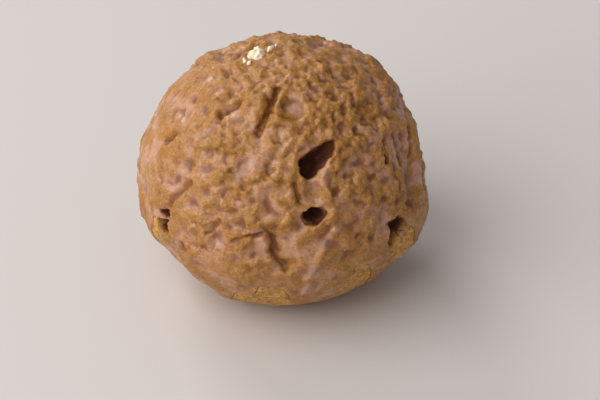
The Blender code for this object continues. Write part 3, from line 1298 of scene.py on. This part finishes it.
@dataclass
class CookieCrust:
    """The craggy glazed crust, a thick shell with torn holes and a ragged lower edge."""

    form: PuffForm
    openings: Openings
    cells: int = 130
    inner_cells: int = 130
    voxel: float = 0.42 * MM
    triangles: int = 190_000
    skin: tuple = (2.7 * MM, 2.1 * MM)  # depths under the outer face between which the grains begin
    rim_depths: tuple = (2.2 * MM, 1.2 * MM)
    rim_easing: float = 0.6
    rim_rounds: int = 8
    nub: Grain = Grain(0.0021, 0.00095, (1.3, 0, 6.1))
    pebble: Grain = Grain(0.0019, 0.00060, (2.7, 0, 0))
    rubble: Grain = Grain(0.0010, 0.00032, (0, 4.4, 0))
    pebble_gap: float = 0.45
    least_rugged: float = 0.35
    least_rubbly: float = 0.25
    dry_noise: tuple = (-0.30, 0.10)
    dry_grains: float = 0.7
    dry_mean: float = 0.54
    dry_share: float = 0.7
    # How far the glaze and its painted sheen lower the dryness
    glaze_and_sheen_share: float = 0.45
    # Painted shade in the creases: how wide and how deep a hollow is for the full shade, how strong it is,
    # and how much less of it lies under the glaze
    hollow_rounds: int = 14
    hollow_depth: float = 0.22 * MM
    crease_shade: float = 0.85
    crease_shade_filled: float = 0.7
    # Depths in the torn holes over which the painted shade comes in
    pit_shade_depths: tuple = (0.7 * MM, 2.0 * MM)

    def build(self) -> bpy.types.Object:
        """Makes the crust's mesh, with the values that its finish reads.

        Returns:
            The crust.
        """
        crust = round_form("glazed_crust", self.cells, self.form, lambda reading: reading.crust)
        hollow = round_form("crust_hollow", self.inner_cells, self.form, self.form.hollow)
        carve(crust, [hollow, *self.openings.cutters("crust_opening")], self.voxel)
        self.roughen(crust.data)
        thin_out(crust, self.triangles)
        self.tone(crust.data)
        return crust

    def grains(self, points: np.ndarray, reading: Reading) -> np.ndarray:
        """The small hard grains on the crust.

        Args:
            points: Points in metres, one in a row.
            reading: The form there.

        Returns:
            The grains' height in metres.
        """
        lively = 1 - reading.calm
        grainy = self.form.share(reading.directions, GRAINY_PATCHES) * lively
        rugged = self.form.share(reading.directions, RUGGED_PATCHES) * lively
        dry = np.maximum(smooth_step(*self.dry_noise, reading.dryness), self.dry_grains * grainy) * lively
        nubs = noise_at(points, self.nub.size, self.nub.start)
        nubs *= dry * (self.least_rugged + (1 - self.least_rugged) * rugged)
        rubble = noise_at(points, self.rubble.size, self.rubble.start)
        rubble *= self.least_rubbly + (1 - self.least_rubbly) * dry
        pebbles = (pebbles_at(points, self.pebble.size, self.pebble.start) - self.pebble_gap) * grainy
        return self.nub.height * nubs + self.rubble.height * rubble + self.pebble.height * pebbles

    def roughen(self, mesh: bpy.types.Mesh) -> None:
        """Rounds the rims of the torn holes and adds the grains, along the surface's normals.

        Args:
            mesh: The crust's mesh.
        """
        points = points_of(mesh)
        reading = self.form.read(points)
        shallow = smooth_step(*self.rim_depths, reading.depth)
        near, _ = self.openings.nearness(points)
        points = eased_points(mesh, self.rim_easing * near * shallow, self.rim_rounds)
        move_points(mesh, points)
        height = self.grains(points, reading) * smooth_step(*self.skin, reading.depth)
        move_points(mesh, points + normals_of(mesh) * height[:, None])

    def tone(self, mesh: bpy.types.Mesh) -> None:
        """Keeps where the crust is dry, where it is hollow for the painted shade in its creases, and how deep
        the torn holes go for the painted shade in them.

        Args:
            mesh: The crust's mesh.
        """
        points = points_of(mesh)
        reading = self.form.read(points)
        _, torn = self.openings.nearness(points)
        glaze_and_sheen_mask = self.form.share(reading.directions, GLAZE_AND_SHEEN_PATCHES)
        dry = self.dry_mean + self.dry_share * reading.dryness - self.glaze_and_sheen_share * glaze_and_sheen_mask
        hollow = np.clip(hollows(mesh, self.hollow_rounds) / self.hollow_depth, 0, 1)
        set_values(mesh, "dry", np.clip(dry, 0, 1))
        # Painted shade in the creases, weaker where the glaze lies
        set_values(mesh, "crease_shade", self.crease_shade * hollow * (1 - self.crease_shade_filled * glaze_and_sheen_mask))
        # Painted shade: the crust darkens deep in the torn holes
        set_values(mesh, "depth", torn * smooth_step(*self.pit_shade_depths, reading.depth))

    def dress(self, crust: bpy.types.Object) -> None:
        """Gives the crust its finish and its place in the model."""
        crust.data.materials.clear()
        crust.data.materials.append(GlazedCookieFinish().material())
        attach(crust, BODY)
        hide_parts("cookie_crust")


@dataclass
class ChouxBun:
    """The bun inside the crust, bare along the crust's lower edge and in the torn holes."""

    form: PuffForm
    openings: Openings
    cells: int = 130
    voxel: float = 0.5 * MM
    triangles: int = 110_000
    past_edge: tuple = (3, -1)  # degrees above the crust's edge between which the bun is bare
    torn_skin: tuple = (0.3 * MM, 1.0 * MM)
    pore_noise: tuple = (0.55, 1)
    pore_tones: tuple = (0.45, 0.95)
    pore_share: float = 0.35
    # Depths in the torn holes over which the painted shade comes in
    pit_shade_depths: tuple = (1.4 * MM, 3.5 * MM)
    pore: Grain = Grain(0.0014, 0.00006, (5.5, 0, 0))
    crumb: Grain = Grain(0.0012, 0.00012, (0, 1.9, 0))

    def build(self) -> bpy.types.Object:
        """Makes the bun's mesh, with the values that its finish reads.

        Returns:
            The bun.
        """
        bun = round_form("choux", self.cells, self.form, self.form.bun)
        self.rest_on_table(bun.data)
        carve(bun, self.openings.cutters("bun_opening"), self.voxel)
        self.roughen(bun.data)
        self.rest_on_table(bun.data)
        thin_out(bun, self.triangles)
        self.tone(bun.data)
        return bun

    def rest_on_table(self, mesh: bpy.types.Mesh) -> None:
        """Gives the round underside its flat foot.

        Args:
            mesh: The bun's mesh.
        """
        points = points_of(mesh)
        points[:, 2] = np.maximum(points[:, 2], 0)
        move_points(mesh, points)

    def roughen(self, mesh: bpy.types.Mesh) -> None:
        """Adds pores and crumb where the bun is bare.

        Args:
            mesh: The bun's mesh.
        """
        points = points_of(mesh)
        reading = self.form.read(points)
        turns, rises = turns_and_rises(reading.directions)
        below = smooth_step(*self.past_edge, rises - self.form.edge(turns))
        torn = smooth_step(*self.torn_skin, self.form.bun(reading) - reading.lengths)
        pores = pebbles_at(points, self.pore.size, self.pore.start)
        crumb = noise_at(points, self.crumb.size, self.crumb.start)
        relief = -self.pore.height * smooth_step(*self.pore_noise, pores) + self.crumb.height * crumb
        relief *= np.maximum(below, torn)
        move_points(mesh, points + normals_of(mesh) * relief[:, None])

    def tone(self, mesh: bpy.types.Mesh) -> None:
        """Keeps where the pores are, and how deep the torn holes go, for the painted shade in them.

        Args:
            mesh: The bun's mesh.
        """
        points = points_of(mesh)
        pores = pebbles_at(points, self.pore.size, self.pore.start)
        _, torn = self.openings.nearness(points)
        set_values(mesh, "pore", self.pore_share * smooth_step(*self.pore_tones, pores))
        # Painted shade: the bun darkens deep in the torn holes
        set_values(mesh, "depth", torn * smooth_step(*self.pit_shade_depths, self.form.read(points).depth))

    def dress(self, bun: bpy.types.Object) -> None:
        """Gives the bun its finish and its place in the model."""
        bun.data.materials.clear()
        bun.data.materials.append(ChouxFinish().material())
        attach(bun, BODY)
        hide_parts("choux_bun")


@dataclass
class CreamDab:
    """The dab of cream that has come up through the crack near the top."""

    form: PuffForm
    width: float = 6.6 * MM
    length: float = 6.8 * MM
    depth: float = 9.6 * MM
    sink: float = 1.5 * MM
    turn: float = -112
    rise: float = 79
    twist: float = 25
    facets: int = 5
    peak: float = 0.55
    lean: tuple = (-0.6 * MM, 0.9 * MM)
    wave: Grain = Grain(0.0026, 0.0008, (0, 0, 0))
    ripple: Grain = Grain(0.0011, 0.0006, (3.3, 0, 0))
    fleck_facets: int = 4
    fleck_thickness: float = 0.65 * MM
    fleck_waves: float = 0.3
    sunk_skin: float = 1 * MM

    def build(self) -> bpy.types.Object:
        """Makes the cream's mesh.

        Returns:
            The cream.
        """
        shape = bmesh.new()
        bmesh.ops.create_icosphere(shape, subdivisions=self.facets, radius=1)
        for corner in shape.verts:
            corner.co = self.peaked(corner.co)
        sunk = Matrix.Translation((0, 0, -self.sink))
        shape.transform(self.form.outward(self.turn, self.rise, self.twist, 0) @ sunk)
        for fleck in FLECKS:
            sizes = Vector((fleck.across, fleck.along, self.fleck_thickness)) / 2
            place = self.form.outward(fleck.turn, fleck.rise, fleck.twist, 0)
            bmesh.ops.create_icosphere(
                shape, subdivisions=self.fleck_facets, radius=1, matrix=place @ Matrix.Diagonal((*sizes, 1))
            )
        cream = add_object("cream_dab", shape)
        places = points_of(cream.data)
        rough = sum(
            grain.height * noise_at(places, grain.size, grain.start) for grain in (self.wave, self.ripple)
        )
        arms = places - self.form.middle
        shown = smooth_step(-self.sunk_skin, 0, np.linalg.norm(arms, axis=1) - self.base)
        aside = np.linalg.norm(np.cross(arms, direction_of(self.turn, self.rise)), axis=1)
        shown *= np.where(aside < self.length, 1, self.fleck_waves)
        move_points(cream.data, places + normals_of(cream.data) * (rough * shown)[:, None])
        return cream

    @property
    def base(self) -> float:
        """Distance from the belly's middle to the crust under the cream."""
        direction = direction_of(self.turn, self.rise)
        return float(self.form.read(self.form.middle + direction[None]).crust[0])

    def peaked(self, place: Vector) -> Vector:
        """Draws the upper half of a ball up to a leaning peak.

        Args:
            place: A place on a ball of radius 1.

        Returns:
            The place on the dab.
        """
        high = max(place.z, 0)
        narrow = 1 - self.peak * high
        aside = Vector((*self.lean, 0)) * high * high
        sizes = Vector((self.width * narrow, self.length * narrow, self.depth)) / 2
        return Vector(share * size for share, size in zip(place, sizes)) + aside

    def dress(self, cream: bpy.types.Object) -> None:
        """Gives the cream its finish and its place in the model."""
        cream.data.materials.append(CreamFinish().material())
        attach(cream, BODY)
        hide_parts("cream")


@dataclass(frozen=True)
class Studio:
    """A plain pale floor, a large soft light from the left and the camera at the photograph's angle."""

    form: PuffForm
    elevation: float = 37.7
    lens: float = 300
    sensor: float = 36
    picture_width: float = 600
    picture_height: float = 400
    pixels_per_metre: float = 3318
    belly_pixel: tuple = (284.2, 185.2)
    floor_size: float = 6.0
    key_place: tuple = (-1.35, -0.70, 1.38)
    key_size: float = 2.6
    key_power: float = 57
    window_place: tuple = (-0.80, 1.30, 0.95)
    window_size: float = 0.7
    window_power: float = 10
    sky: str = "#F2F0F0"
    sky_strength: float = 0.36

    def build(self) -> None:
        """Makes the floor, the lights and the camera."""
        self.lay_floor()
        self.add_light("key", self.key_place, self.key_size, self.key_power)
        self.add_light("window", self.window_place, self.window_size, self.window_power)
        self.set_sky()
        self.add_camera()
        bpy.context.scene.view_settings.view_transform = "Standard"

    def lay_floor(self) -> None:
        """Lays the floor under the puff."""
        shape = bmesh.new()
        bmesh.ops.create_grid(shape, x_segments=1, y_segments=1, size=self.floor_size / 2)
        floor = add_object("floor", shape, smooth=False)
        floor.data.materials.append(FloorFinish().material())

    def add_light(self, name: str, place: tuple, size: float, power: float) -> None:
        """Adds a square light that faces the puff.

        Args:
            name: Name of the light.
            place: Where it hangs.
            size: Length of its sides.
            power: Its power in watts.
        """
        light = bpy.data.lights.new(name, "AREA")
        light.shape = "SQUARE"
        light.size = size
        light.energy = power
        hung = bpy.data.objects.new(name, light)
        hung.location = place
        hung.rotation_euler = (Vector(place) - Vector(self.form.middle)).to_track_quat("Z", "Y").to_euler()
        bpy.context.scene.collection.objects.link(hung)

    def set_sky(self) -> None:
        """Gives the room its even pale light."""
        world = bpy.data.worlds.new("room")
        world.use_nodes = True
        background = world.node_tree.nodes["Background"]
        background.inputs["Color"].default_value = linear(self.sky)
        background.inputs["Strength"].default_value = self.sky_strength
        bpy.context.scene.world = world

    def add_camera(self) -> None:
        """Adds the camera, so that the puff's belly falls on its place in the picture."""
        rise = math.radians(self.elevation)
        right = Vector((1, 0, 0))
        up = Vector((0, math.sin(rise), math.cos(rise)))
        ahead = Vector((0, math.cos(rise), -math.sin(rise)))
        distance = self.picture_width * self.lens / self.sensor / self.pixels_per_metre
        aside = (self.belly_pixel[0] - self.picture_width / 2) / self.pixels_per_metre
        above = (self.picture_height / 2 - self.belly_pixel[1]) / self.pixels_per_metre
        camera = bpy.data.objects.new("camera", bpy.data.cameras.new("camera"))
        camera.data.lens = self.lens
        camera.data.sensor_width = self.sensor
        camera.data.clip_end = self.floor_size
        camera.location = Vector(self.form.middle) - ahead * distance - right * aside - up * above
        camera.rotation_euler = Matrix((right, up, -ahead)).transposed().to_euler()
        bpy.context.scene.collection.objects.link(camera)
        bpy.context.scene.camera = camera


def main() -> None:
    """Builds and dresses every piece, and the studio round them."""
    logging.basicConfig(level=logging.INFO, format="%(message)s")
    noise.seed_set(SEED)
    form = PuffForm()
    openings = Openings(form)
    for maker in (CookieCrust(form, openings), ChouxBun(form, openings), CreamDab(form)):
        piece = maker.build()
        maker.dress(piece)
        log.info("%s: %d faces", piece.name, len(piece.data.polygons))
    Studio(form).build()


if __name__ == "__main__":
    main()
